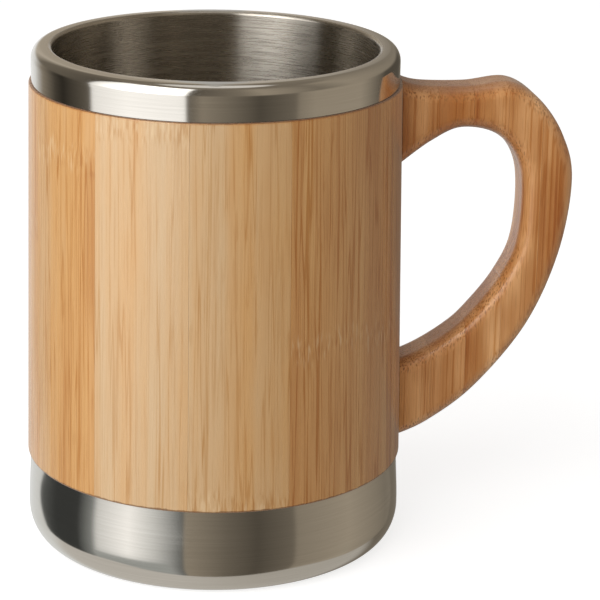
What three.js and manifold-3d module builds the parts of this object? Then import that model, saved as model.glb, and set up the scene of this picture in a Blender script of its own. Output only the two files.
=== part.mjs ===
// Bamboo clad steel mug with a laminated bamboo handle, in millimetres, +Z up.
// The cup's axis is Z, its foot stands on z = 0 and the handle points along +X.
import * as THREE from 'three';
import { mergeVertices } from 'three/addons/utils/BufferGeometryUtils.js';
import Module from 'manifold-3d';

const wasm = await Module();
wasm.setup();

// Heights, from the foot up
const BASE_HEIGHT = 19.2;
const SLEEVE_HEIGHT = 83.2;
const COLLAR_HEIGHT = 7.6;

// Bamboo sleeve
const SLEEVE_TOP_RADIUS = 39.95;
const SLEEVE_FLARE = 1.45;
const SLEEVE_WALL = 3.5;
const STAVE_COUNT = 12;
const SLEEVE_EDGE = 0.4;
const TOP_TONGUE = 4.4;
const BOTTOM_TONGUE = 8.6;

// Steel sheet, drawn to shape
const SHEET = 0.6;
const STEEL_SETBACK = 0.55;
const LIP_OUTER_WIDTH = 2.2;
const LIP_OUTER_DROP = 2.7;
const LIP_INNER_RADIUS = 0.8;
const CUP_CORNER = 8;
const BASE_BULGE = 0.45;
const BASE_CORNER_WIDTH = 4.6;
const BASE_CORNER_HEIGHT = 6.5;
const FOOT_GROOVE_RADIUS = 26;
const FOOT_GROOVE_WIDTH = 5;
const FOOT_GROOVE_DEPTH = 0.7;

// Bamboo handle
const HANDLE_REACH = 39.05;
const HANDLE_FOOT_GAP = 1.1;
const HANDLE_TOP_GAP = 0.3;
const HANDLE_THICKNESS = 12;
const HANDLE_ROUNDING = 3.4;
const HANDLE_ROOT = 9;
const HANDLE_LAYERS = 5;
const GRIP_LAYERS = 2;

// Countersunk wood screws that hold the handle to the sleeve
const SCREW_LENGTH = 17;
const SCREW_SHANK = 3.5;
const SCREW_HEAD = 7;
const SCREW_FACETS = 16;

// Clearances
const GLUE_LINE = 0.1;
const SLIP = 0.25;
const HOLE_OVERRUN = 0.5;
const CUP_AIR_GAP = 0.95;
const CUP_FLOOR_GAP = 4;

// Fineness of the curves: facets to a stave, to a bend, to a span of the outline and to a rounded edge
const STAVE_FACETS = 4;
const BEND_FACETS = 6;
const OUTLINE_FACETS = 4;
const ROUNDING_FACETS = 4;
const MERGE_DISTANCE = 1e-4;

// Sizes that follow from the ones above
const SLEEVE_BOTTOM = BASE_HEIGHT;
const SLEEVE_TOP = SLEEVE_BOTTOM + SLEEVE_HEIGHT;
const LIP_TOP = SLEEVE_TOP + COLLAR_HEIGHT;
const SLEEVE_BOTTOM_RADIUS = SLEEVE_TOP_RADIUS + SLEEVE_FLARE;
const SLEEVE_BORE = SLEEVE_TOP_RADIUS - SLEEVE_WALL;
const COLLAR_RADIUS = SLEEVE_TOP_RADIUS - STEEL_SETBACK;
const BASE_TOP_RADIUS = SLEEVE_BOTTOM_RADIUS - STEEL_SETBACK;
const BASE_RADIUS = BASE_TOP_RADIUS + BASE_BULGE;
const CUP_RADIUS = SLEEVE_BORE - CUP_AIR_GAP - SHEET;
const CUP_FLOOR = CUP_FLOOR_GAP + 2 * SHEET;
const HANDLE_FOOT = SLEEVE_BOTTOM + HANDLE_FOOT_GAP;
const HANDLE_HEIGHT = SLEEVE_HEIGHT - HANDLE_FOOT_GAP - HANDLE_TOP_GAP;
const HANDLE_LAYER = HANDLE_REACH / HANDLE_LAYERS;

// Handle outline: [share of the reach, share of the height], outer edge from the top joint
// round the grip to the bottom joint, then the finger opening back up to the top joint.
const HANDLE_OUTER = [
  [0.000, 1.000], [0.120, 0.984], [0.382, 0.980], [0.622, 0.989], [0.794, 0.938], [0.933, 0.842],
  [1.000, 0.718], [0.943, 0.515], [0.769, 0.311], [0.477, 0.137], [0.203, 0.039], [0.000, -0.003],
];
const HANDLE_INNER = [
  [0.000, 0.217], [0.144, 0.245], [0.308, 0.292], [0.428, 0.342], [0.597, 0.444], [0.696, 0.558],
  [0.698, 0.744], [0.566, 0.842], [0.352, 0.868], [0.180, 0.834], [0.000, 0.772],
];

// Shares of the handle's height: the middle of each arm at the sleeve, and of the finger opening
const UPPER_ARM = 0.892;
const LOWER_ARM = 0.114;
const OPENING_MIDDLE = 0.6;

// Finishes read from the photo
const polishedSteel = new THREE.MeshStandardMaterial({ color: '#b3aca2', roughness: 0.18, metalness: 1 });
const satinSteel = new THREE.MeshStandardMaterial({ color: '#aca59a', roughness: 0.34, metalness: 1 });
const zincSteel = new THREE.MeshStandardMaterial({ color: '#a9a9a6', roughness: 0.4, metalness: 1 });
const staveBamboo = ['#c08650', '#c99561', '#bb8049', '#c58d57'].map(
  (color) => new THREE.MeshStandardMaterial({ color, roughness: 0.46, metalness: 0 }),
);
const handleBamboo = ['#b26a30', '#bc7638', '#a9622b'].map(
  (color) => new THREE.MeshStandardMaterial({ color, roughness: 0.5, metalness: 0 }),
);

// Solids for cutting
function solid(geometry) {
  const bare = geometry.clone();
  bare.deleteAttribute('normal');
  bare.deleteAttribute('uv');
  const merged = mergeVertices(bare, MERGE_DISTANCE);
  const corners = merged.index.array;
  const triVerts = [];
  for (let i = 0; i < corners.length; i += 3) {
    const [a, b, c] = corners.slice(i, i + 3);
    if (a !== b && b !== c && c !== a) triVerts.push(a, b, c);
  }
  return new wasm.Manifold(new wasm.Mesh({
    numProp: 3,
    vertProperties: new Float32Array(merged.attributes.position.array),
    triVerts: new Uint32Array(triVerts),
  }));
}

function geometryOf(manifold) {
  const mesh = manifold.getMesh();
  const geometry = new THREE.BufferGeometry();
  geometry.setAttribute('position', new THREE.BufferAttribute(new Float32Array(mesh.vertProperties), 3));
  geometry.setIndex(new THREE.BufferAttribute(new Uint32Array(mesh.triVerts), 1));
  return geometry;
}

// A profile of [radius, height] points turned about Z
function turned(profile, around = STAVE_COUNT * STAVE_FACETS) {
  const points = profile.map(([r, z]) => new THREE.Vector2(r, z));
  if (THREE.ShapeUtils.area(points) < 0) points.reverse();
  return new THREE.LatheGeometry(points, around).rotateX(Math.PI / 2);
}

// A quarter of an ellipse between two angles in degrees
function bend(centre, half, from, to) {
  return Array.from({ length: BEND_FACETS + 1 }, (_, i) => {
    const a = THREE.MathUtils.degToRad(from + ((to - from) * i) / BEND_FACETS);
    return [centre[0] + half[0] * Math.cos(a), centre[1] + half[1] * Math.sin(a)];
  });
}

// The back of a sheet whose face follows the path: each point moved to the left of the path
function backOf(path, thickness) {
  return path.map((point, i) => {
    const before = path[Math.max(i - 1, 0)];
    const after = path[Math.min(i + 1, path.length - 1)];
    const along = new THREE.Vector2(after[0] - before[0], after[1] - before[1]).normalize();
    const onAxis = point[0] === 0;
    return [onAxis ? 0 : point[0] - along.y * thickness, point[1] + along.x * thickness];
  });
}

function sheetMetal(face, thickness) {
  return turned([...face, ...backOf(face, thickness).reverse()]);
}

// Inner cup: floor, brushed wall and the lip rolled out into the collar, one drawn sheet
function innerCup() {
  const face = [
    [0, CUP_FLOOR],
    ...bend([CUP_RADIUS - CUP_CORNER, CUP_FLOOR + CUP_CORNER], [CUP_CORNER, CUP_CORNER], -90, 0),
    ...bend(
      [CUP_RADIUS + LIP_INNER_RADIUS, LIP_TOP - LIP_INNER_RADIUS],
      [LIP_INNER_RADIUS, LIP_INNER_RADIUS], 180, 90,
    ),
    ...bend(
      [COLLAR_RADIUS - LIP_OUTER_WIDTH, LIP_TOP - LIP_OUTER_DROP],
      [LIP_OUTER_WIDTH, LIP_OUTER_DROP], 90, 0,
    ),
    [COLLAR_RADIUS, SLEEVE_TOP + GLUE_LINE],
  ];
  return sheetMetal(face, -SHEET);
}

// Base cup: a shallow drawn cup with a rounded corner and a stiffening groove underneath
function baseCup() {
  const half = FOOT_GROOVE_WIDTH / 2;
  const face = [
    [0, 0],
    [FOOT_GROOVE_RADIUS - half, 0],
    [FOOT_GROOVE_RADIUS - half + FOOT_GROOVE_DEPTH, FOOT_GROOVE_DEPTH],
    [FOOT_GROOVE_RADIUS + half - FOOT_GROOVE_DEPTH, FOOT_GROOVE_DEPTH],
    [FOOT_GROOVE_RADIUS + half, 0],
    ...bend(
      [BASE_RADIUS - BASE_CORNER_WIDTH, BASE_CORNER_HEIGHT],
      [BASE_CORNER_WIDTH, BASE_CORNER_HEIGHT], -90, 0,
    ),
    [BASE_RADIUS, (BASE_CORNER_HEIGHT + BASE_HEIGHT) / 2],
    [BASE_TOP_RADIUS, SLEEVE_BOTTOM - GLUE_LINE],
  ];
  return sheetMetal(face, SHEET);
}

// Countersunk screw along +X, its head against the bore; the clearance and overrun make its hole
function screwAt(height, clearance = 0, overrun = 0) {
  const head = SCREW_HEAD / 2 + clearance;
  const shank = SCREW_SHANK / 2 + clearance;
  const cone = (SCREW_HEAD - SCREW_SHANK) / 2;
  const profile = [
    [0, -overrun],
    [head, -overrun],
    [head, clearance],
    [shank, cone + clearance],
    [shank, SCREW_LENGTH - SCREW_SHANK],
    [0, SCREW_LENGTH + clearance],
  ];
  const screw = turned(profile, SCREW_FACETS).rotateY(Math.PI / 2);
  return screw.translate(SLEEVE_BORE + GLUE_LINE, 0, height);
}

// Sleeve: a turned ring with a tongue at each end, parted into staves
function sleeveRing() {
  const topTongue = COLLAR_RADIUS - SHEET - SLIP;
  const bottomTongue = BASE_TOP_RADIUS - SHEET - SLIP;
  return turned([
    [SLEEVE_BORE, SLEEVE_BOTTOM - BOTTOM_TONGUE],
    [bottomTongue, SLEEVE_BOTTOM - BOTTOM_TONGUE],
    [bottomTongue, SLEEVE_BOTTOM],
    [SLEEVE_BOTTOM_RADIUS - SLEEVE_EDGE, SLEEVE_BOTTOM],
    [SLEEVE_BOTTOM_RADIUS, SLEEVE_BOTTOM + SLEEVE_EDGE],
    [SLEEVE_TOP_RADIUS, SLEEVE_TOP - SLEEVE_EDGE],
    [SLEEVE_TOP_RADIUS - SLEEVE_EDGE, SLEEVE_TOP],
    [topTongue, SLEEVE_TOP],
    [topTongue, SLEEVE_TOP + TOP_TONGUE],
    [SLEEVE_BORE, SLEEVE_TOP + TOP_TONGUE],
    [SLEEVE_BORE, SLEEVE_BOTTOM - BOTTOM_TONGUE],
  ]);
}

function staveWedge(index) {
  const half = Math.PI / STAVE_COUNT;
  const far = 2 * SLEEVE_BOTTOM_RADIUS;
  const tip = GLUE_LINE / 2 / Math.sin(half);
  const shape = new THREE.Shape([
    new THREE.Vector2(tip, 0),
    new THREE.Vector2(tip + far, -far * Math.tan(half)),
    new THREE.Vector2(tip + far, far * Math.tan(half)),
  ]);
  const wedge = new THREE.ExtrudeGeometry(shape, { depth: 2 * LIP_TOP, bevelEnabled: false });
  return wedge.rotateZ(2 * half * index);
}

// Handle: one outline with rounded edges, saddled to the sleeve and parted into glued layers
const heightAt = (share) => HANDLE_FOOT + share * HANDLE_HEIGHT;

// Where an edge ends up if it runs straight on into the sleeve
function rootOf(end, before) {
  const run = HANDLE_ROOT / (before.x - end.x);
  return [end.x - HANDLE_ROOT, end.y + (end.y - before.y) * run];
}

function handleBlank() {
  const place = ([out, up]) => new THREE.Vector2(SLEEVE_TOP_RADIUS + out * HANDLE_REACH, heightAt(up));
  const outer = HANDLE_OUTER.map(place);
  const inner = HANDLE_INNER.map(place);
  const shape = new THREE.Shape();
  shape.moveTo(...rootOf(outer[0], outer[1]));
  shape.lineTo(...outer[0]);
  shape.splineThru(outer.slice(1));
  shape.lineTo(...rootOf(outer.at(-1), outer.at(-2)));
  shape.lineTo(...rootOf(inner[0], inner[1]));
  shape.lineTo(...inner[0]);
  shape.splineThru(inner.slice(1));
  shape.lineTo(...rootOf(inner.at(-1), inner.at(-2)));
  shape.closePath();
  const depth = HANDLE_THICKNESS - 2 * HANDLE_ROUNDING;
  const blank = new THREE.ExtrudeGeometry(shape, {
    depth,
    curveSegments: OUTLINE_FACETS,
    bevelEnabled: true,
    bevelSegments: ROUNDING_FACETS,
    bevelSize: HANDLE_ROUNDING,
    bevelThickness: HANDLE_ROUNDING,
    bevelOffset: -HANDLE_ROUNDING,
  });
  return blank.translate(0, 0, -depth / 2).rotateX(Math.PI / 2);
}

function sleeveSaddle() {
  const slope = (SLEEVE_TOP_RADIUS - SLEEVE_BOTTOM_RADIUS) / SLEEVE_HEIGHT;
  const radiusAt = (z) => SLEEVE_BOTTOM_RADIUS + slope * (z - SLEEVE_BOTTOM) + GLUE_LINE;
  const low = -HANDLE_HEIGHT;
  const high = 2 * LIP_TOP;
  return turned([[0, low], [radiusAt(low), low], [radiusAt(high), high], [0, high]]);
}

// A box between two reaches and two heights, wide enough to take the whole handle
function slab(from, to, low, high) {
  const box = new THREE.BoxGeometry(to - from, 2 * HANDLE_THICKNESS, high - low);
  return box.translate((from + to) / 2, 0, (low + high) / 2);
}

const part = new THREE.Group();
part.name = 'bamboo_steel_mug';

function add(name, manifold, material) {
  const mesh = new THREE.Mesh(geometryOf(manifold), material);
  mesh.name = name;
  part.add(mesh);
}

add('inner_cup', solid(innerCup()), polishedSteel);
add('base_cup', solid(baseCup()), satinSteel);

const screwHeights = { upper: heightAt(UPPER_ARM), lower: heightAt(LOWER_ARM) };
for (const [where, height] of Object.entries(screwHeights)) {
  add(`handle_screw_${where}`, solid(screwAt(height)), zincSteel);
}
const screwHoles = Object.values(screwHeights)
  .map((height) => solid(screwAt(height, SLIP / 2, HOLE_OVERRUN)))
  .reduce((all, hole) => all.add(hole));

// Staves, the first of them behind the handle
const ring = solid(sleeveRing());
for (let i = 0; i < STAVE_COUNT; i += 1) {
  const stave = ring.intersect(solid(staveWedge(i))).subtract(screwHoles);
  const number = String(i + 1).padStart(2, '0');
  add(`stave_${number}`, stave, staveBamboo[i % staveBamboo.length]);
}

// Handle layers: the finger opening parts the inner ones into an upper and a lower piece
const handle = solid(handleBlank()).subtract(solid(sleeveSaddle())).subtract(screwHoles);
const openingMiddle = heightAt(OPENING_MIDDLE);
const below = -LIP_TOP;
const above = 2 * LIP_TOP;
for (let n = 1; n <= HANDLE_LAYERS; n += 1) {
  const joint = (layer) => SLEEVE_TOP_RADIUS + layer * HANDLE_LAYER;
  const from = n === 1 ? 0 : joint(n - 1) + GLUE_LINE / 2;
  const to = n === HANDLE_LAYERS ? 2 * joint(n) : joint(n) - GLUE_LINE / 2;
  const between = (low, high) => handle.intersect(solid(slab(from, to, low, high)));
  const bamboo = handleBamboo[n % handleBamboo.length];
  if (n <= HANDLE_LAYERS - GRIP_LAYERS) {
    add(`handle_upper_layer_${n}`, between(openingMiddle, above), bamboo);
    add(`handle_lower_layer_${n}`, between(below, openingMiddle), bamboo);
  } else {
    add(`handle_grip_layer_${n}`, between(below, above), bamboo);
  }
}

export default part;
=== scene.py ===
import math

import bpy
from mathutils import Matrix, Vector

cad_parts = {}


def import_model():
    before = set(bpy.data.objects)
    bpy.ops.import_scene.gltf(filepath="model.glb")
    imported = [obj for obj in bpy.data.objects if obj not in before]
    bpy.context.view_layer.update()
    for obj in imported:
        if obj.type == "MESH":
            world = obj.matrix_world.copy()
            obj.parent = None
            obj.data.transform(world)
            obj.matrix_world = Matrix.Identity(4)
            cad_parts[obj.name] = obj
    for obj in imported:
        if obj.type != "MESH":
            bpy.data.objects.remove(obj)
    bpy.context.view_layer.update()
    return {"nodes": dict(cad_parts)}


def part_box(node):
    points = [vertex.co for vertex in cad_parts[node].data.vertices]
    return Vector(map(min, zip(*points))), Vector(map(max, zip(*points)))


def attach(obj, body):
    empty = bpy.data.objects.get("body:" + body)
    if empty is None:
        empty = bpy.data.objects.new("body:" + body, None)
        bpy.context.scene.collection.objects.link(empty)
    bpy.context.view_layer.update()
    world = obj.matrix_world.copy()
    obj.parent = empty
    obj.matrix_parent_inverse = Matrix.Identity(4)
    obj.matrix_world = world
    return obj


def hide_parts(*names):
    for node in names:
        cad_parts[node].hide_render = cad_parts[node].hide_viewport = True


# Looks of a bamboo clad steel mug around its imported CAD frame: metres, +Z up, handle along +X.
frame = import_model()

MM = 0.001
FULL_TURN = 2 * math.pi

# Sizes read from the frame
cup_low, cup_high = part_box("inner_cup")
base_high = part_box("base_cup")[1]
stave_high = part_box("stave_01")[1]
LIP_TOP = cup_high.z
COLLAR_RADIUS = cup_high.x
BASE_RADIUS = base_high.x
SLEEVE_BOTTOM_RADIUS = stave_high.x
HANDLE_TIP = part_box("handle_grip_layer_5")[1].x

# Sizes that the frame's boxes don't give, as in the part's source
SHEET = 0.6 * MM
GLUE_LINE = 0.1 * MM
SLIP = 0.25 * MM
CUP_AIR_GAP = 0.95 * MM
SLEEVE_FLARE = 1.45 * MM
SLEEVE_WALL = 3.5 * MM
SLEEVE_EDGE = 0.4 * MM
STEEL_SETBACK = 0.55 * MM
TOP_TONGUE = 4.4 * MM
BOTTOM_TONGUE = 8.6 * MM
LIP_OUTER_WIDTH = 2.2 * MM
LIP_OUTER_DROP = 2.7 * MM
LIP_INNER_RADIUS = 0.8 * MM
CUP_CORNER = 8 * MM
BASE_CORNER_WIDTH = 4.6 * MM
BASE_CORNER_HEIGHT = 6.5 * MM
FOOT_GROOVE_RADIUS = 26 * MM
FOOT_GROOVE_WIDTH = 5 * MM
FOOT_GROOVE_DEPTH = 0.7 * MM
HANDLE_FOOT_GAP = 1.1 * MM
HANDLE_TOP_GAP = 0.3 * MM
HANDLE_THICKNESS = 12 * MM
HANDLE_ROUNDING = 3.4 * MM
HANDLE_ROOT = 9 * MM
HANDLE_LAYERS = 5
GRIP_LAYERS = 2
STAVE_COUNT = 12

# Sizes that follow from the ones above
SLEEVE_BOTTOM = base_high.z + GLUE_LINE
SLEEVE_TOP = stave_high.z - TOP_TONGUE
SLEEVE_TOP_RADIUS = SLEEVE_BOTTOM_RADIUS - SLEEVE_FLARE
SLEEVE_BORE = SLEEVE_TOP_RADIUS - SLEEVE_WALL
BASE_TOP_RADIUS = SLEEVE_BOTTOM_RADIUS - STEEL_SETBACK
CUP_RADIUS = SLEEVE_BORE - CUP_AIR_GAP - SHEET
CUP_FLOOR = cup_low.z + SHEET
HANDLE_REACH = HANDLE_TIP - SLEEVE_TOP_RADIUS
HANDLE_FOOT = SLEEVE_BOTTOM + HANDLE_FOOT_GAP
HANDLE_HEIGHT = SLEEVE_TOP - HANDLE_TOP_GAP - HANDLE_FOOT
HANDLE_LAYER = HANDLE_REACH / HANDLE_LAYERS
SLEEVE_TAPER = SLEEVE_FLARE / (SLEEVE_TOP - SLEEVE_BOTTOM)

# Heights past the mug, for cuts that go right through and for marks that a strip doesn't have
WELL_BELOW = -LIP_TOP
WELL_ABOVE = 2 * LIP_TOP

# Smoothness of the visible surfaces
AROUND = 240
STAVE_STEPS = 20
BEND_STEPS = 16
SPLINE_STEPS = 14
ROUNDING_STEPS = 10
SHARP_ANGLE = math.radians(32)

# Gaps as they show: staves and layers are pressed tight
STAVE_GAP = 0.03 * MM
LAYER_GAP = 0.03 * MM

# Handle outline, as in the part's source: shares of the reach and of the height
HANDLE_OUTER = [
    (0.000, 1.000), (0.120, 0.984), (0.382, 0.980), (0.622, 0.989), (0.794, 0.938), (0.933, 0.842),
    (1.000, 0.718), (0.943, 0.515), (0.769, 0.311), (0.477, 0.137), (0.203, 0.039), (0.000, -0.003),
]
HANDLE_INNER = [
    (0.000, 0.217), (0.144, 0.245), (0.308, 0.292), (0.428, 0.342), (0.597, 0.444), (0.696, 0.558),
    (0.698, 0.744), (0.566, 0.842), (0.352, 0.868), (0.180, 0.834), (0.000, 0.772),
]
OPENING_MIDDLE = 0.6

# Photograph's camera: distance from the cup's axis, height, lens and aim
CAMERA_DISTANCE = 519.9 * MM
CAMERA_HEIGHT = 221.4 * MM
CAMERA_LENS = 148.8
CAMERA_SENSOR = 36
CAMERA_CLIP = 0.01
CAMERA_PITCH = math.radians(17.96)
CAMERA_YAW = math.radians(2.07)
CAMERA_ROLL = math.radians(0.97)
HANDLE_TURN = math.radians(7.5)
CAMERA_AZIMUTH = -math.pi / 2 - HANDLE_TURN


# Meshes
def new_piece(name, vertices, faces):
    mesh = bpy.data.meshes.new(name)
    mesh.from_pydata(vertices, [], faces)
    piece = bpy.data.objects.new(name, mesh)
    bpy.context.scene.collection.objects.link(piece)
    return piece


def smooth(piece):
    piece.data.shade_smooth()
    piece.data.set_sharp_from_angle(angle=SHARP_ANGLE)


def bend(centre, half, start, end):
    """Points of an ellipse's arc between two angles in degrees."""
    angles = [math.radians(start + (end - start) * i / BEND_STEPS) for i in range(BEND_STEPS + 1)]
    return [(centre[0] + half[0] * math.cos(a), centre[1] + half[1] * math.sin(a)) for a in angles]


def eased(start, end):
    """Points after the first that lead upwards and slip from one radius to another."""
    shares = [i / BEND_STEPS for i in range(1, BEND_STEPS + 1)]
    slips = [(1 - math.cos(math.pi * share)) / 2 for share in shares]
    return [
        (start[0] + (end[0] - start[0]) * slip, start[1] + (end[1] - start[1]) * share)
        for share, slip in zip(shares, slips)
    ]


def back_of(path, thickness):
    """The other face of a sheet, each point moved to the left of the path."""
    moved = []
    for i, (radius, height) in enumerate(path):
        before = Vector(path[max(i - 1, 0)])
        after = Vector(path[min(i + 1, len(path) - 1)])
        along = (after - before).normalized()
        side = 0 if radius == 0 else radius - along.y * thickness
        moved.append((side, height + along.x * thickness))
    return moved


def turned(name, profile):
    """A closed profile of (radius, height) points, turned about Z all the way round."""
    if signed_area(profile) < 0:
        profile = profile[::-1]
    vertices = []
    rings = []
    for radius, height in profile:
        count = 1 if radius == 0 else AROUND
        first = len(vertices)
        for i in range(count):
            angle = FULL_TURN * i / AROUND
            vertices.append((radius * math.cos(angle), radius * math.sin(angle), height))
        rings.append((first, count))
    faces = []
    for (low, low_count), (high, high_count) in zip(rings, rings[1:] + rings[:1]):
        if low_count == 1 and high_count == 1:
            continue
        for i in range(AROUND):
            j = (i + 1) % AROUND
            below = [low + i % low_count, low + j % low_count]
            above = [high + j % high_count, high + i % high_count]
            faces.append(list(dict.fromkeys(below + above)))
    return new_piece(name, vertices, faces)


def turned_sector(name, profile, start, end):
    """A closed profile turned about Z from one angle to another, with flat ends."""
    count = len(profile)
    vertices = []
    for i in range(STAVE_STEPS + 1):
        angle = start + (end - start) * i / STAVE_STEPS
        vertices += [(r * math.cos(angle), r * math.sin(angle), z) for r, z in profile]
    faces = [list(range(count)), list(range(len(vertices) - 1, len(vertices) - count - 1, -1))]
    for i in range(STAVE_STEPS):
        for k in range(count):
            a = i * count + k
            b = i * count + (k + 1) % count
            faces.append([b, a, a + count, b + count])
    return new_piece(name, vertices, faces)


def signed_area(points):
    pairs = zip(points, points[1:] + points[:1])
    return sum(a[0] * b[1] - b[0] * a[1] for a, b in pairs) / 2


def cut(piece, cutter, operation):
    """Cuts a piece with another closed mesh and throws the cutter away."""
    boolean = piece.modifiers.new("cut", "BOOLEAN")
    boolean.operation = operation
    boolean.solver = "EXACT"
    boolean.object = cutter
    evaluated = piece.evaluated_get(bpy.context.evaluated_depsgraph_get())
    result = bpy.data.meshes.new_from_object(evaluated)
    piece.modifiers.clear()
    piece.data = result
    bpy.data.objects.remove(cutter)


def box_between(low, high):
    corners = [(x, y, z) for x in (low[0], high[0]) for y in (low[1], high[1]) for z in (low[2], high[2])]
    sides = [(0, 1, 3, 2), (4, 6, 7, 5), (0, 4, 5, 1), (2, 3, 7, 6), (0, 2, 6, 4), (1, 5, 7, 3)]
    return new_piece("cutter", corners, sides)


def mark(piece, **values):
    """Keeps numbers on a piece for its material to read: one for all its points, or a list."""
    for name, value in values.items():
        attribute = piece.data.attributes.new(name, "FLOAT", "POINT")
        listed = value if isinstance(value, list) else [value] * len(piece.data.vertices)
        attribute.data.foreach_set("value", listed)


def settle(piece, node, slot, *materials):
    """Puts a piece in the place of a CAD node, with its finish."""
    for material in materials:
        piece.data.materials.append(material)
    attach(piece, "root")
    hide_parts(node)


# Shader graphs
class Graph:
    """A node tree with short names for the nodes that the finishes share."""

    def __init__(self, owner):
        owner.use_nodes = True
        self.tree = owner.node_tree
        self.tree.nodes.clear()

    def node(self, kind, inputs=None, **settings):
        made = self.tree.nodes.new(kind)
        for name, value in settings.items():
            setattr(made, name, value)
        for name, value in (inputs or {}).items():
            self.feed(made.inputs[name], value)
        return made

    def feed(self, socket, value):
        if isinstance(value, bpy.types.NodeSocket):
            self.tree.links.new(value, socket)
        else:
            socket.default_value = value

    def math(self, operation, a, b=0.0):
        return self.node("ShaderNodeMath", {0: a, 1: b}, operation=operation).outputs[0]

    def vector(self, operation, a, b):
        return self.node("ShaderNodeVectorMath", {0: a, 1: b}, operation=operation).outputs[0]

    def place(self):
        return self.node("ShaderNodeTexCoord").outputs["Object"]

    def parts(self, vector):
        return self.node("ShaderNodeSeparateXYZ", {0: vector}).outputs

    def radius(self, vector):
        flat = self.vector("MULTIPLY", vector, (1, 1, 0))
        return self.node("ShaderNodeVectorMath", {0: flat}, operation="LENGTH").outputs["Value"]

    def number(self, name):
        return self.node("ShaderNodeAttribute", attribute_name=name).outputs["Fac"]

    def noise(self, vector, per_metre, detail=2.0, roughness=0.5):
        """Values from 0 to 1, most of them between 0.25 and 0.75."""
        scaled = self.vector("MULTIPLY", vector, per_metre)
        inputs = {"Vector": scaled, "Scale": 1.0, "Detail": detail, "Roughness": roughness}
        return self.node("ShaderNodeTexNoise", inputs).outputs["Fac"]

    def fade(self, value, start, end, low=0.0, high=1.0):
        """A smooth step from low to high while a value goes from start to end."""
        inputs = {"Value": value, "From Min": start, "From Max": end, "To Min": low, "To Max": high}
        return self.node("ShaderNodeMapRange", inputs, interpolation_type="SMOOTHSTEP").outputs[0]

    def ramp(self, value, stops):
        made = self.node("ShaderNodeValToRGB", {0: value})
        elements = made.color_ramp.elements
        while len(elements) < len(stops):
            elements.new(1.0)
        for element, (position, colour) in zip(elements, stops):
            element.position = position
            element.color = (*colour, 1)
        return made.outputs[0]

    def mix(self, share, a, b):
        inputs = {0: share, 6: a, 7: b}
        return self.node("ShaderNodeMix", inputs, data_type="RGBA").outputs[2]

    def finish(self, shader, kind="ShaderNodeOutputMaterial"):
        self.node(kind, {"Surface": shader})


def rgb(red, green, blue):
    return (red, green, blue, 1)


# Bamboo: fibres run up and down, so every pattern is long in Z and fine across it
SLEEVE_TONES = [(0.52, 0.232, 0.068), (0.665, 0.368, 0.137), (0.65, 0.448, 0.252)]
HANDLE_TONES = [(0.52, 0.187, 0.042), (0.64, 0.283, 0.09), (0.95, 0.53, 0.235)]
GRAIN = (0.72, 0.54, 0.30)
FLECK = (0.80, 0.60, 0.36)
RUST = (0.36, 0.14, 0.03)
# End grain: darker wood, greyed as a painted sheen on faces that look up or down
END_GRAIN_AND_SHEEN = (0.28, 0.165, 0.11)
DARK = (0.16, 0.062, 0.02)
LACQUER_ROUGHNESS = (0.24, 0.34)
LACQUER_GLOSS = 0.6
SHEEN = 0.2

# Its patterns, in waves per metre along X, Y and Z
BANDS = (230, 230, 3)
PATCHES = (110, 110, 35)
FIBRES = (800, 800, 4)
HAIRS = (2600, 2600, 7)
LONG_LINES = (430, 430, 1.3)
TICKS = (1400, 1400, 110)
TICK_CLUSTERS = (130, 130, 22)
KNUCKLE_WAVES = (180, 180, 0)
KNUCKLE_FLECKS = (1900, 1900, 230)
CUT_BUNDLES = (2500, 2500, 190)
RAGGED_EDGE = (500, 500, 0)

# Between which of a pattern's values it goes from its first strength to its last
BAND_RANGE = (0.25, 0.75)
PATCH_RANGE = (0.3, 0.7)
FIBRE_RANGE = (0.45, 0.75)
HAIR_RANGE = (0.5, 0.7)
LONG_LINE_RANGE = (0.0, 0.026)
TICK_RANGE = (0.6, 0.7)
TICK_CLUSTER_RANGE = (0.5, 0.66)
PALE_FLECK_RANGE = (0.54, 0.68)
DARK_FLECK_RANGE = (0.46, 0.36)
CUT_BUNDLE_RANGE = (0.2, 0.46)
LACQUER_RANGE = (0.3, 0.7)

# How strongly the patterns show
BAND_SWING = 0.18
FIBRE_DEPTH = 0.26
HAIR_DEPTH = 0.58
HAIR_RELIEF = 0.05
PATCH_DEPTHS = (1.15, 0.75)
LONG_LINE_DEPTH = 0.85
TICK_DEPTH = 0.35
PALE_FLECK_DEPTH = 0.4
DARK_FLECK_DEPTH = 0.5
STAIN_DEPTH = 0.6
SIDE_DASH_DEPTH = 0.15
END_GRAIN_AND_SHEEN_DEPTH = 0.45
# Darkening beside a seam: glue soak at the sleeve's ends, painted shade on the handle beside the sleeve
SOAK_AND_SHADE_DEPTH = 0.8
SEAM_DEPTH = 0.7

# How large single marks are
HAIR_HEIGHT = 0.1 * MM
KNUCKLE_WOBBLE = 7 * MM
KNUCKLE_CORE = 1 * MM
KNUCKLE_EDGE = 4 * MM
STAIN_CORE = 7 * MM
STAIN_EDGE = 24 * MM
SEAM_LINE = 0.15 * MM

# Shares of a strip's width over which a stain comes in
STAIN_SIDE = (0.8, 0.93)

# How steeply a face looks up or down where side dashes become dots, and where end grain, greyed as painted
# sheen, comes in
DASHES_TO_DOTS = (0.06, 0.4)
SIDE_TO_END_GRAIN_AND_SHEEN = (0.4, 0.9)

# Sideways share of the step from one strip's patterns to the next strip's
STRIP_SLANT = 0.37


def level_with(seam):
    """Distance from a seam that lies level."""
    def away_from(graph, place):
        return graph.math("ABSOLUTE", graph.math("SUBTRACT", graph.parts(place)[2], seam))
    return away_from


def sleeve_face(graph, place):
    """Distance out from the sleeve's tapered face."""
    rise = graph.math("SUBTRACT", graph.parts(place)[2], SLEEVE_BOTTOM)
    narrowing = graph.math("MULTIPLY", rise, SLEEVE_TAPER)
    beyond_foot = graph.math("SUBTRACT", graph.radius(place), SLEEVE_BOTTOM_RADIUS)
    return graph.math("ADD", beyond_foot, narrowing)


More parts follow.
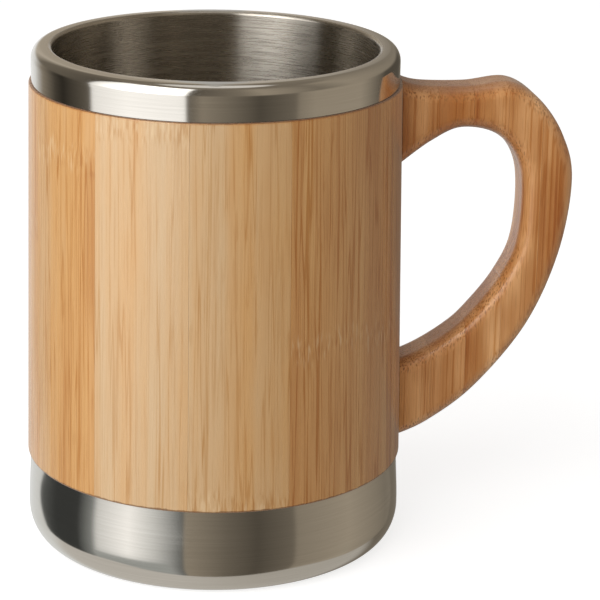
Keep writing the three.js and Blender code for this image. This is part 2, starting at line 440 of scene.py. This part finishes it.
def strip_place(graph, place):
    """Where a strip takes its patterns from, so that no two strips share them."""
    strip = graph.number("strip")
    slant = graph.math("MULTIPLY", strip, STRIP_SLANT)
    offset = graph.node("ShaderNodeCombineXYZ", {0: strip, 1: slant}).outputs[0]
    return graph.vector("ADD", place, offset)


def grained(graph, share, colour):
    """Wood with a share of the grain's colour, which is redder and darker."""
    return graph.mix(share, colour, graph.vector("MULTIPLY", colour, GRAIN))


def plain_wood(graph, where, patch, tones, mottle):
    """Each strip has its own tone, in bands along it and in soft patches."""
    band = graph.noise(where, BANDS, detail=1.0)
    tone = graph.math("ADD", graph.number("tone"), graph.fade(band, *BAND_RANGE, -BAND_SWING, BAND_SWING))
    tone = graph.math("ADD", tone, graph.fade(patch, *PATCH_RANGE, -mottle, mottle))
    return graph.ramp(tone, list(zip((0.0, 0.5, 1.0), tones)))


def grain_share(graph, where, patch, fibre, hair):
    """Straight fibres and hair lines, a few long sharp lines, clustered ticks."""
    fibres = graph.fade(fibre, *FIBRE_RANGE, 0.0, FIBRE_DEPTH)
    hairs = graph.fade(hair, *HAIR_RANGE, 0.0, HAIR_DEPTH)
    strength = graph.fade(patch, *PATCH_RANGE, *PATCH_DEPTHS)
    share = graph.math("MULTIPLY", graph.math("ADD", fibres, hairs), strength)
    from_line = graph.math("ABSOLUTE", graph.math("SUBTRACT", graph.noise(where, LONG_LINES), 0.5))
    share = graph.math("ADD", share, graph.fade(from_line, *LONG_LINE_RANGE, LONG_LINE_DEPTH, 0.0))
    cluster = graph.fade(graph.noise(where, TICK_CLUSTERS, detail=1.0), *TICK_CLUSTER_RANGE)
    tick = graph.fade(graph.noise(where, TICKS, detail=1.0), *TICK_RANGE)
    tick = graph.math("MULTIPLY", tick, cluster)
    share = graph.math("ADD", share, graph.math("MULTIPLY", tick, TICK_DEPTH))
    return graph.math("MULTIPLY", share, graph.number("grain"))


def with_knuckle(graph, where, height, colour):
    """A wavy belt of short pale and dark flecks."""
    wobble = graph.math("MULTIPLY", graph.noise(where, KNUCKLE_WAVES), KNUCKLE_WOBBLE)
    above = graph.math("ADD", graph.math("SUBTRACT", height, graph.number("knuckle")), wobble)
    belt = graph.fade(graph.math("ABSOLUTE", above), KNUCKLE_CORE, KNUCKLE_EDGE, 1.0, 0.0)
    flecks = graph.noise(where, KNUCKLE_FLECKS, detail=1.0)
    pale = graph.math("MULTIPLY", belt, graph.fade(flecks, *PALE_FLECK_RANGE, 0.0, PALE_FLECK_DEPTH))
    dark = graph.math("MULTIPLY", belt, graph.fade(flecks, *DARK_FLECK_RANGE, 0.0, DARK_FLECK_DEPTH))
    return grained(graph, dark, graph.mix(pale, colour, rgb(*FLECK)))


def with_stain(graph, height, colour):
    """A reddish streak along the joint with the next strip."""
    beside_joint = graph.fade(graph.number("across"), *STAIN_SIDE)
    from_stain = graph.math("ABSOLUTE", graph.math("SUBTRACT", height, graph.number("stain")))
    along_joint = graph.fade(from_stain, STAIN_CORE, STAIN_EDGE, STAIN_DEPTH, 0.0)
    return grained(graph, graph.math("MULTIPLY", beside_joint, along_joint), colour)


def with_cut_bundles(graph, where, pores, colour):
    """Dots on darker end grain, faint dashes on the sides; faces that look up or down are also greyed as a
    painted sheen.
    """
    cells = graph.vector("MULTIPLY", where, CUT_BUNDLES)
    bundle = graph.node("ShaderNodeTexVoronoi", {"Vector": cells, "Scale": 1.0}).outputs["Distance"]
    up = graph.math("ABSOLUTE", graph.parts(graph.node("ShaderNodeNewGeometry").outputs["Normal"])[2])
    strength = graph.fade(up, *DASHES_TO_DOTS, SIDE_DASH_DEPTH, 1.0)
    dots = graph.math("MULTIPLY", graph.fade(bundle, *CUT_BUNDLE_RANGE, pores, 0.0), strength)
    end_grain_and_sheen = graph.fade(up, *SIDE_TO_END_GRAIN_AND_SHEEN, 0.0, END_GRAIN_AND_SHEEN_DEPTH * pores)
    return graph.mix(dots, graph.mix(end_grain_and_sheen, colour, rgb(*END_GRAIN_AND_SHEEN)), rgb(*RUST))


def with_seam(graph, ragged, away, reach, soak_and_shade_reach, colour):
    """Wood darker beside a seam with another piece, and a ragged dark line along it. The darkening is glue
    soak at the sleeve's ends and painted shade on the handle beside the sleeve.
    """
    colour = grained(graph, graph.fade(away, 0.0, soak_and_shade_reach, SOAK_AND_SHADE_DEPTH, 0.0), colour)
    past_edge = graph.math("SUBTRACT", away, graph.math("MULTIPLY", ragged, reach))
    return graph.mix(graph.fade(past_edge, 0.0, SEAM_LINE, SEAM_DEPTH, 0.0), colour, rgb(*DARK))


def bamboo(name, tones, mottle, pores, seams):
    """Lacquered bamboo. A seam gives a distance, its ragged line's reach and how far the wood darkens
    beside it: glue soak at the sleeve's ends, painted shade on the handle by the sleeve.
    """
    material = bpy.data.materials.new(name)
    graph = Graph(material)
    place = graph.place()
    where = strip_place(graph, place)
    height = graph.parts(place)[2]
    patch = graph.noise(where, PATCHES)
    fibre = graph.noise(where, FIBRES, detail=3.0, roughness=0.6)
    hair = graph.noise(where, HAIRS)
    ragged = graph.noise(where, RAGGED_EDGE, detail=3.0)
    colour = plain_wood(graph, where, patch, tones, mottle)
    colour = grained(graph, grain_share(graph, where, patch, fibre, hair), colour)
    colour = with_knuckle(graph, where, height, colour)
    colour = with_stain(graph, height, colour)
    colour = with_cut_bundles(graph, where, pores, colour)
    for away_from, reach, soak_and_shade_reach in seams:
        colour = with_seam(graph, ragged, away_from(graph, place), reach, soak_and_shade_reach, colour)
    bump = graph.node("ShaderNodeBump", {"Strength": HAIR_RELIEF, "Distance": HAIR_HEIGHT, "Height": hair})
    surface = graph.node("ShaderNodeBsdfPrincipled", {
        "Base Color": colour, "Roughness": graph.fade(fibre, *LACQUER_RANGE, *LACQUER_ROUGHNESS),
        "Normal": bump.outputs[0], "Specular IOR Level": LACQUER_GLOSS, "Sheen Weight": SHEEN,
    })
    graph.finish(surface.outputs[0])
    return material


# Steel: lines left by turning run round the axis, in waves per metre along X, Y and the profile
OUTSIDE_STEEL = ((0.56, 0.53, 0.48), (0.70, 0.67, 0.62))
# The inside steel's colour is darker than the outside's: painted shade inside the cup
INSIDE_STEEL_AND_SHADE = ((0.44, 0.40, 0.345), (0.55, 0.505, 0.44))
FINE_LINES = (40, 40, 3600)
BRUSHED_LINES = (100, 100, 3300)
LINE_HEIGHT = 0.02 * MM
RIPPLES = (70, 70, 70)
RIPPLE_HEIGHT = 0.05 * MM
QUARTER_TURN = 0.25
SMOOTH_FINISH = {"roughness": 0.1, "spread": 0.02, "anisotropy": 0.0, "relief": 0.005, "contrast": 0.5}
BRUSHED_FINISH = {"roughness": 0.27, "spread": 0.2, "anisotropy": 0.97, "relief": 0.4, "contrast": 0.14}


def turned_lines(graph, per_metre):
    """Fine lines that follow height on a wall and radius on a floor."""
    place = graph.place()
    x, y, z = graph.parts(place)
    along = graph.math("ADD", graph.radius(place), z)
    line = graph.node("ShaderNodeCombineXYZ", {0: x, 1: y, 2: along}).outputs[0]
    return graph.noise(line, per_metre, detail=3.0, roughness=0.7)


def steel(name, colours, per_metre, ripples, roughness, spread, anisotropy, relief, contrast):
    """Turned steel: its lines vary its colour by the contrast and its roughness by the spread."""
    material = bpy.data.materials.new(name)
    graph = Graph(material)
    lines = turned_lines(graph, per_metre)
    rippled = graph.noise(graph.place(), RIPPLES, detail=1.0)
    wavy = graph.node("ShaderNodeBump", {"Strength": ripples, "Distance": RIPPLE_HEIGHT, "Height": rippled})
    bump = graph.node("ShaderNodeBump", {
        "Strength": relief, "Distance": LINE_HEIGHT, "Height": lines, "Normal": wavy.outputs[0],
    })
    swing = graph.math("MULTIPLY", graph.math("SUBTRACT", lines, 0.5), spread)
    tangent = graph.node("ShaderNodeTangent", direction_type="RADIAL", axis="Z").outputs[0]
    colour = graph.ramp(lines, list(zip((0.5 - contrast, 0.5 + contrast), colours)))
    surface = graph.node("ShaderNodeBsdfPrincipled", {
        "Base Color": colour, "Metallic": 1.0, "Roughness": graph.math("ADD", swing, roughness),
        "Anisotropic": anisotropy, "Anisotropic Rotation": QUARTER_TURN, "Tangent": tangent,
        "Normal": bump.outputs[0],
    })
    graph.finish(surface.outputs[0])
    return material


# Finishes in use
polished = steel("polished_steel", OUTSIDE_STEEL, FINE_LINES, ripples=0.7, **SMOOTH_FINISH)
# The brushed inside steel carries painted shade in its darker colour
brushed = steel("brushed_steel", INSIDE_STEEL_AND_SHADE, BRUSHED_LINES, ripples=0.0, **BRUSHED_FINISH)
satin = steel("satin_steel", OUTSIDE_STEEL, FINE_LINES, ripples=0.4, **SMOOTH_FINISH)
sleeve_seams = (
    (level_with(SLEEVE_TOP), 0.2 * MM, 0.6 * MM),
    (level_with(SLEEVE_BOTTOM), 0.8 * MM, 0.6 * MM),
)
# The handle's 7 mm darkening beside the sleeve is painted shade from the cup body; its ragged dark line is
# a glue line
handle_seam_and_shade = ((sleeve_face, 0.3 * MM, 7 * MM),)
sleeve_bamboo = bamboo("sleeve_bamboo", SLEEVE_TONES, mottle=0.05, pores=0.15, seams=sleeve_seams)
handle_bamboo = bamboo("handle_bamboo", HANDLE_TONES, mottle=0.3, pores=1.0, seams=handle_seam_and_shade)


# Inner cup: floor, wall and the lip rolled out into the collar, one drawn sheet
def inner_cup():
    inner_crest = CUP_RADIUS + LIP_INNER_RADIUS
    outer_crest = COLLAR_RADIUS - LIP_OUTER_WIDTH
    face = [(0, CUP_FLOOR)]
    face += bend((CUP_RADIUS - CUP_CORNER, CUP_FLOOR + CUP_CORNER), (CUP_CORNER, CUP_CORNER), -90, 0)
    face += bend((inner_crest, LIP_TOP - LIP_INNER_RADIUS), (LIP_INNER_RADIUS, LIP_INNER_RADIUS), 180, 90)
    face += bend((outer_crest, LIP_TOP - LIP_OUTER_DROP), (LIP_OUTER_WIDTH, LIP_OUTER_DROP), 90, 0)
    face += [(COLLAR_RADIUS, SLEEVE_TOP + GLUE_LINE)]
    piece = turned("inner_cup_steel", face + back_of(face, -SHEET)[::-1])
    smooth(piece)
    settle(piece, "inner_cup", "cup_steel", brushed, polished)
    for polygon in piece.data.polygons:
        polygon.material_index = int(Vector(polygon.center[:2]).length > inner_crest)


# Base cup: a shallow drawn cup with a rounded corner and a stiffening groove underneath
def base_cup():
    half = FOOT_GROOVE_WIDTH / 2
    face = [
        (0, 0),
        (FOOT_GROOVE_RADIUS - half, 0),
        (FOOT_GROOVE_RADIUS - half + FOOT_GROOVE_DEPTH, FOOT_GROOVE_DEPTH),
        (FOOT_GROOVE_RADIUS + half - FOOT_GROOVE_DEPTH, FOOT_GROOVE_DEPTH),
        (FOOT_GROOVE_RADIUS + half, 0),
    ]
    corner_centre = (BASE_RADIUS - BASE_CORNER_WIDTH, BASE_CORNER_HEIGHT)
    face += bend(corner_centre, (BASE_CORNER_WIDTH, BASE_CORNER_HEIGHT), -90, 0)
    face += eased((BASE_RADIUS, BASE_CORNER_HEIGHT), (BASE_TOP_RADIUS, SLEEVE_BOTTOM - GLUE_LINE))
    piece = turned("base_cup_steel", face + back_of(face, SHEET)[::-1])
    smooth(piece)
    settle(piece, "base_cup", "base_steel", satin)


# Staves: light and dark strips side by side, each with its own knuckle
STAVE_TONES = {7: 0.5, 8: 0.54, 9: 0.86, 10: 0.77, 11: 0.33, 12: 0.11}
STAVE_KNUCKLES = {8: 95 * MM, 9: 104 * MM, 10: 24 * MM, 11: 57 * MM, 12: 56 * MM}
STAVE_STAINS = {3: 40 * MM, 6: 85 * MM, 8: 74 * MM}
STAVE_PATTERN_STEP = 0.7

# Staves that aren't listed: tones and knuckles spread by their number
OTHER_TONE = 0.6
OTHER_TONE_SWING = 0.2
OTHER_TONE_STEP = 2.6
OTHER_KNUCKLE_STEP = 31
OTHER_KNUCKLE_RANGE = 80

# Grain of a stave with tone 0; it gets less as the tone gets lighter
DARKEST_STAVE_GRAIN = 1.45


def stave(number):
    top_tongue = COLLAR_RADIUS - SHEET - SLIP
    bottom_tongue = BASE_TOP_RADIUS - SHEET - SLIP
    profile = [
        (SLEEVE_BORE, SLEEVE_BOTTOM - BOTTOM_TONGUE),
        (bottom_tongue, SLEEVE_BOTTOM - BOTTOM_TONGUE),
        (bottom_tongue, SLEEVE_BOTTOM),
        *bend(
            (SLEEVE_BOTTOM_RADIUS - SLEEVE_EDGE, SLEEVE_BOTTOM + SLEEVE_EDGE),
            (SLEEVE_EDGE, SLEEVE_EDGE), -90, 0,
        ),
        *bend(
            (SLEEVE_TOP_RADIUS - SLEEVE_EDGE, SLEEVE_TOP - SLEEVE_EDGE),
            (SLEEVE_EDGE, SLEEVE_EDGE), 0, 90,
        ),
        (top_tongue, SLEEVE_TOP),
        (top_tongue, SLEEVE_TOP + TOP_TONGUE),
        (SLEEVE_BORE, SLEEVE_TOP + TOP_TONGUE),
    ]
    half = FULL_TURN / STAVE_COUNT / 2 - STAVE_GAP / 2 / SLEEVE_TOP_RADIUS
    middle = FULL_TURN / STAVE_COUNT * (number - 1)
    piece = turned_sector(f"stave_{number:02}_bamboo", profile, middle - half, middle + half)
    smooth(piece)
    other_tone = OTHER_TONE + OTHER_TONE_SWING * math.sin(OTHER_TONE_STEP * number)
    other_knuckle = SLEEVE_BOTTOM + (number * OTHER_KNUCKLE_STEP % OTHER_KNUCKLE_RANGE) * MM
    tone = STAVE_TONES.get(number, other_tone)
    knuckle = STAVE_KNUCKLES.get(number, other_knuckle)
    stain = STAVE_STAINS.get(number, WELL_BELOW)
    across = [i // len(profile) / STAVE_STEPS for i in range(len(piece.data.vertices))]
    mark(piece, strip=number * STAVE_PATTERN_STEP, tone=tone, grain=DARKEST_STAVE_GRAIN - tone)
    mark(piece, knuckle=knuckle, across=across, stain=stain)
    settle(piece, f"stave_{number:02}", "sleeve_bamboo", sleeve_bamboo)


# Handle: one outline with rounded edges, saddled to the sleeve and parted into glued layers
HANDLE_LAYER_TONES = (0.37, 0.28, 0.48, 0.8, 0.35)
# Lower arm: paler tones than the upper arm's, painted light to make up for the sleeve's shadow on it
LOWER_ARM_PAINTED_LIGHT_TONES = (0.95, 0.78, 0.54)
HANDLE_GRAIN = 0.95
HANDLE_PATTERNS = 20
HANDLE_PATTERN_STEP = 0.9


def handle_height(share):
    return HANDLE_FOOT + share * HANDLE_HEIGHT


def spline(points):
    """A smooth curve through the points."""
    curve = []
    for i in range(len(points) - 1):
        before, start, end, after = (
            points[min(max(i + k, 0), len(points) - 1)] for k in (-1, 0, 1, 2)
        )
        leave = (end - before) / 2
        arrive = (after - start) / 2
        for step in range(SPLINE_STEPS):
            t = step / SPLINE_STEPS
            cubic = (2 * start - 2 * end + leave + arrive) * t ** 3
            square = (3 * end - 3 * start - 2 * leave - arrive) * t ** 2
            curve.append(cubic + square + leave * t + start)
    return curve + [points[-1]]


def root_of(end, before):
    """Where an edge ends up if it runs straight on into the sleeve."""
    return end + (end - before) * (HANDLE_ROOT / (before.x - end.x))


def inset(outline, distance):
    """The outline moved inwards, corner by corner; it runs clockwise."""
    moved = []
    for i, point in enumerate(outline):
        before = (point - outline[i - 1]).normalized()
        after = (outline[(i + 1) % len(outline)] - point).normalized()
        side_before = Vector((before.y, -before.x))
        side_after = Vector((after.y, -after.x))
        moved.append(point + (side_before + side_after) * (distance / (1 + side_before.dot(side_after))))
    return moved


def handle_blank():
    edges = []
    for shares in (HANDLE_OUTER, HANDLE_INNER):
        points = [Vector((SLEEVE_TOP_RADIUS + x * HANDLE_REACH, handle_height(z))) for x, z in shares]
        edges += [root_of(points[0], points[1]), *spline(points), root_of(points[-1], points[-2])]
    vertices = []
    flat = HANDLE_THICKNESS / 2 - HANDLE_ROUNDING
    for side in (-1, 1):
        for step in range(ROUNDING_STEPS + 1):
            turn = math.pi / 2 * (step if side > 0 else ROUNDING_STEPS - step) / ROUNDING_STEPS
            ring = inset(edges, HANDLE_ROUNDING * (1 - math.cos(turn)))
            y = side * (flat + HANDLE_ROUNDING * math.sin(turn))
            vertices += [(point.x, y, point.y) for point in ring]
    count = len(edges)
    rings = len(vertices) // count
    faces = [list(range(count - 1, -1, -1)), list(range((rings - 1) * count, rings * count))]
    for ring in range(rings - 1):
        for k in range(count):
            a = ring * count + k
            b = ring * count + (k + 1) % count
            faces.append([a, b, b + count, a + count])
    return new_piece("handle_blank", vertices, faces)


def sleeve_saddle():
    """A cone that clears the sleeve by half a glue line."""
    low = -HANDLE_HEIGHT
    high = WELL_ABOVE
    at_low, at_high = (
        SLEEVE_BOTTOM_RADIUS - SLEEVE_TAPER * (z - SLEEVE_BOTTOM) + GLUE_LINE / 2 for z in (low, high)
    )
    return turned("cutter", [(0, low), (at_low, low), (at_high, high), (0, high)])


def handle_layer(blank, node, number, low, high):
    first = SLEEVE_TOP_RADIUS + (number - 1) * HANDLE_LAYER + LAYER_GAP / 2
    last = SLEEVE_TOP_RADIUS + number * HANDLE_LAYER - LAYER_GAP / 2
    near = 0 if number == 1 else first
    far = 2 * last if number == HANDLE_LAYERS else last
    piece = new_piece(f"{node}_bamboo", [], [])
    piece.data = blank.data.copy()
    piece.data.name = piece.name
    cut(piece, box_between((near, -HANDLE_THICKNESS, low), (far, HANDLE_THICKNESS, high)), "INTERSECT")
    smooth(piece)
    piece.modifiers.new("flat faces stay flat", "WEIGHTED_NORMAL").keep_sharp = True
    # The lower arm's paler tones are painted light
    tones = LOWER_ARM_PAINTED_LIGHT_TONES if "lower" in node else HANDLE_LAYER_TONES
    strip = HANDLE_PATTERNS + number * HANDLE_PATTERN_STEP
    mark(piece, strip=strip, tone=tones[number - 1], grain=HANDLE_GRAIN, knuckle=WELL_BELOW)
    settle(piece, node, "handle_bamboo", handle_bamboo)


def handle():
    blank = handle_blank()
    cut(blank, sleeve_saddle(), "DIFFERENCE")
    middle = handle_height(OPENING_MIDDLE)
    for number in range(1, HANDLE_LAYERS + 1):
        if number <= HANDLE_LAYERS - GRIP_LAYERS:
            handle_layer(blank, f"handle_upper_layer_{number}", number, middle, WELL_ABOVE)
            handle_layer(blank, f"handle_lower_layer_{number}", number, WELL_BELOW, middle)
        else:
            handle_layer(blank, f"handle_grip_layer_{number}", number, WELL_BELOW, WELL_ABOVE)
    bpy.data.objects.remove(blank)


# Screws stay as the CAD made them, hidden in the wood
def screws():
    for node in ("handle_screw_upper", "handle_screw_lower"):
        materials = frame["nodes"][node].data.materials
        materials.clear()
        materials.append(satin)


# Studio: white to the camera, a soft fill for everything else
WHITE = (1, 1, 1)
FILL = (0.42, 0.41, 0.40)
FLOOR_HALF = 4
FLOOR_GREY = (0.55, 0.55, 0.55)
FLOOR_GLOW = 0.72
FLOOR_BOUNCE = (0.5, 0.49, 0.47)


def seen_directly(graph):
    path = graph.node("ShaderNodeLightPath").outputs
    seen = graph.math("MAXIMUM", path["Is Camera Ray"], path["Is Glossy Ray"])
    return graph.math("MAXIMUM", seen, path["Is Transmission Ray"])


def world():
    made = bpy.data.worlds.new("studio")
    bpy.context.scene.world = made
    graph = Graph(made)
    colour = graph.mix(seen_directly(graph), rgb(*FILL), rgb(*WHITE))
    graph.finish(graph.node("ShaderNodeBackground", {"Color": colour}).outputs[0], "ShaderNodeOutputWorld")


def floor():
    corners = [(x * FLOOR_HALF, y * FLOOR_HALF, 0) for x, y in ((-1, -1), (1, -1), (1, 1), (-1, 1))]
    piece = new_piece("floor", corners, [(0, 1, 2, 3)])
    material = bpy.data.materials.new("floor_white")
    graph = Graph(material)
    lit = graph.node("ShaderNodeBsdfDiffuse", {"Color": rgb(*FLOOR_GREY)}).outputs[0]
    glow = graph.node("ShaderNodeEmission", {"Color": rgb(*WHITE), "Strength": FLOOR_GLOW}).outputs[0]
    pale = graph.node("ShaderNodeAddShader", {0: lit, 1: glow}).outputs[0]
    plain = graph.node("ShaderNodeBsdfDiffuse", {"Color": rgb(*FLOOR_BOUNCE)}).outputs[0]
    graph.finish(graph.node("ShaderNodeMixShader", {0: seen_directly(graph), 1: plain, 2: pale}).outputs[0])
    piece.data.materials.append(material)
    piece.visible_glossy = False


# What the steel mirrors, in rings from the table up: degrees left (-) and right (+) of the camera,
# and brightness there
SURROUND_RADIUS = 0.9
TABLE_RING = [
    (-180, 0.3), (-112, 0.055), (-90, 0.055), (-78, 0.3), (-74, 0.9), (-52, 1.38), (-36, 0.84),
    (-18.2, 0.16), (-17.5, 0.38), (8, 0.19), (26, 0.11), (49, 0.2), (51, 0.33), (90, 0.45),
    (132, 0.25), (180, 0.3),
]
WALL_RING = [
    (-180, 1.05), (-175, 1.0), (-148, 0.9), (-132, 0.3), (-115, 0.08), (-106, 0.035), (-81.2, 0.15),
    (-79.7, 1.2), (-54, 1.5), (-18, 1.38), (-17, 0.14), (-8, 0.34), (26, 0.105), (49, 0.2), (51, 0.32),
    (62, 0.41), (98, 0.42), (125, 0.1), (155, 0.1), (172, 0.3), (180, 1.05),
]
UPPER_RING = [
    (-180, 0.65), (-175, 0.42), (-158, 0.58), (-138, 0.2), (-82.5, 0.12), (-81, 1.2), (-66, 2.2),
    (-50, 4.6), (-40, 4.4), (-18, 2.2), (-16.5, 0.12), (15, 0.26), (30, 0.42), (66, 0.24), (90, 0.4),
    (172, 0.25), (180, 0.65),
]
BRIGHTEST = 4.6
WARM = (1.0, 0.87, 0.69)
COOL = (0.97, 1.02, 1.0)
PAPER = (1.0, 0.95, 0.86)
CEILING_LEFT = 0.25
CEILING_RIGHT = 0.24
ZENITH = 0.9
BELOW_SOFTBOX = 0.45

# Heights, in shares of the surround's radius, between which one ring gives way to the next
SOFTBOX_FOOT = (-0.375, -0.36)
TABLE_TO_WALL = (-0.244, -0.236)
WALL_TO_UPPER = (0.14, 0.3)
UPPER_TO_CEILING = (0.80, 0.90)
CEILING_TO_ZENITH = (0.95, 0.975)

# Distance either side of the middle in which the left's light gives way to the right's
LEFT_TO_RIGHT = 0.4 * SURROUND_RADIUS

# A pale card under the mug, its brightness and its form in shares of its depth below
CARD_FAR_LEFT = 0.84
CARD_FAR_RIGHT = 0.2
CARD_LEFT = 0.68
CARD_RIGHT = 0.54
CARD_ASIDE = 1.65
CARD_SHIFT = 0.2
CARD_SPLAY = 0.16
CARD_SPLAY_END = -1.5
CARD_SQUARENESS = 4.0
CARD_EDGE = (1.1, 0.9)
CARD_NEAR_TO_FAR = (-0.5, -1.1)
CARD_LEAST_DEPTH = 0.01


def tinted(brightness, dim_tint=WARM):
    """A share of the brightest light: white where bright, tinted where dim."""
    share = min(max(2 - 2 * brightness, 0), 1)
    return tuple((1 + share * (c - 1)) * brightness / BRIGHTEST for c in dim_tint)


def ring_of(graph, turn, stops, cool_until):
    """Brightness round the mug, cool up to a direction on the left and warm beyond it."""
    tints = [tinted(brightness, COOL if degrees < cool_until else WARM) for degrees, brightness in stops]
    return graph.ramp(turn, [(degrees / 360 + 0.5, tint) for (degrees, _), tint in zip(stops, tints)])


def stacked_rings(graph, place, side):
    """The rings one above the other, from the table up to the zenith."""
    x, y, z = graph.parts(place)
    turn = graph.math("ADD", graph.math("DIVIDE", graph.math("ARCTAN2", y, x), FULL_TURN), 0.5)
    rise = graph.math("DIVIDE", z, SURROUND_RADIUS)
    table = ring_of(graph, turn, TABLE_RING, cool_until=-18)
    wall = ring_of(graph, turn, WALL_RING, cool_until=-145)
    upper = ring_of(graph, turn, UPPER_RING, cool_until=-180)
    ceiling = graph.mix(side, rgb(*tinted(CEILING_LEFT)), rgb(*tinted(CEILING_RIGHT)))
    dim = graph.vector("MINIMUM", table, tinted(BELOW_SOFTBOX, COOL))
    colour = graph.mix(graph.fade(rise, *SOFTBOX_FOOT), dim, table)
    colour = graph.mix(graph.fade(rise, *TABLE_TO_WALL), colour, wall)
    colour = graph.mix(graph.fade(rise, *WALL_TO_UPPER), colour, upper)
    colour = graph.mix(graph.fade(rise, *UPPER_TO_CEILING), colour, ceiling)
    return graph.mix(graph.fade(rise, *CEILING_TO_ZENITH), colour, rgb(*tinted(ZENITH)))


def with_card(graph, place, side, colour):
    """The pale card over the rings: rounded ahead, splayed and endless behind."""
    x, y, z = graph.parts(place)
    depth = graph.math("MAXIMUM", graph.math("MULTIPLY", z, -1.0), CARD_LEAST_DEPTH)
    ahead = graph.math("DIVIDE", x, depth)
    aside = graph.math("ABSOLUTE", graph.math("ADD", graph.math("DIVIDE", y, depth), CARD_SHIFT))
    splay = graph.math("MULTIPLY", graph.math("MAXIMUM", ahead, CARD_SPLAY_END), CARD_SPLAY)
    share_aside = graph.math("DIVIDE", graph.math("ADD", aside, splay), CARD_ASIDE)
    out_aside = graph.math("POWER", graph.math("MAXIMUM", share_aside, 0.0), CARD_SQUARENESS)
    out_ahead = graph.math("POWER", graph.math("MAXIMUM", ahead, 0.0), CARD_SQUARENESS)
    inside = graph.fade(graph.math("ADD", out_aside, out_ahead), *CARD_EDGE)
    near = graph.mix(side, rgb(*tinted(CARD_LEFT, PAPER)), rgb(*tinted(CARD_RIGHT, PAPER)))
    far = graph.mix(side, rgb(*tinted(CARD_FAR_LEFT, COOL)), rgb(*tinted(CARD_FAR_RIGHT)))
    card = graph.mix(graph.fade(ahead, *CARD_NEAR_TO_FAR), near, far)
    return graph.mix(inside, colour, card)


def surround():
    bpy.ops.mesh.primitive_uv_sphere_add(segments=48, ring_count=24, radius=SURROUND_RADIUS)
    piece = bpy.context.object
    piece.name = "studio_surround"
    piece.rotation_euler = (0, 0, CAMERA_AZIMUTH)
    material = bpy.data.materials.new("studio_surround")
    graph = Graph(material)
    place = graph.place()
    side = graph.fade(graph.parts(place)[1], -LEFT_TO_RIGHT, LEFT_TO_RIGHT)
    colour = with_card(graph, place, side, stacked_rings(graph, place, side))
    glow = graph.node("ShaderNodeEmission", {"Color": colour, "Strength": BRIGHTEST}).outputs[0]
    graph.finish(glow)
    piece.data.materials.append(material)
    piece.visible_camera = False
    piece.visible_diffuse = False
    piece.visible_shadow = False
    piece.visible_transmission = False


def towards(azimuth, elevation, distance):
    across = distance * math.cos(elevation)
    return Vector((across * math.cos(azimuth), across * math.sin(azimuth), distance * math.sin(elevation)))


def softbox(name, degrees, elevation, distance, size, watts):
    light = bpy.data.lights.new(name, "AREA")
    light.shape = "SQUARE"
    light.size = size
    light.energy = watts
    lamp = bpy.data.objects.new(name, light)
    bpy.context.scene.collection.objects.link(lamp)
    lamp.location = towards(CAMERA_AZIMUTH + math.radians(degrees), math.radians(elevation), distance)
    lamp.rotation_euler = (-lamp.location).to_track_quat("-Z", "Y").to_euler()
    lamp.visible_glossy = False
    lamp.visible_camera = False


def camera():
    data = bpy.data.cameras.new("camera")
    data.lens = CAMERA_LENS
    data.sensor_width = CAMERA_SENSOR
    data.clip_start = CAMERA_CLIP
    taken = bpy.data.objects.new("camera", data)
    bpy.context.scene.collection.objects.link(taken)
    stand = Matrix.Translation((0, -CAMERA_DISTANCE, CAMERA_HEIGHT))
    aim = Matrix.Rotation(-CAMERA_YAW, 4, "Z") @ Matrix.Rotation(math.pi / 2 - CAMERA_PITCH, 4, "X")
    roll = Matrix.Rotation(CAMERA_ROLL, 4, "Z")
    taken.matrix_world = Matrix.Rotation(-HANDLE_TURN, 4, "Z") @ stand @ aim @ roll
    bpy.context.scene.camera = taken


inner_cup()
base_cup()
for number in range(1, STAVE_COUNT + 1):
    stave(number)
handle()
screws()
world()
floor()
surround()
softbox("key", degrees=-48, elevation=28, distance=0.9, size=1.2, watts=10.2)
camera()
bpy.context.scene.view_settings.view_transform = "Standard"
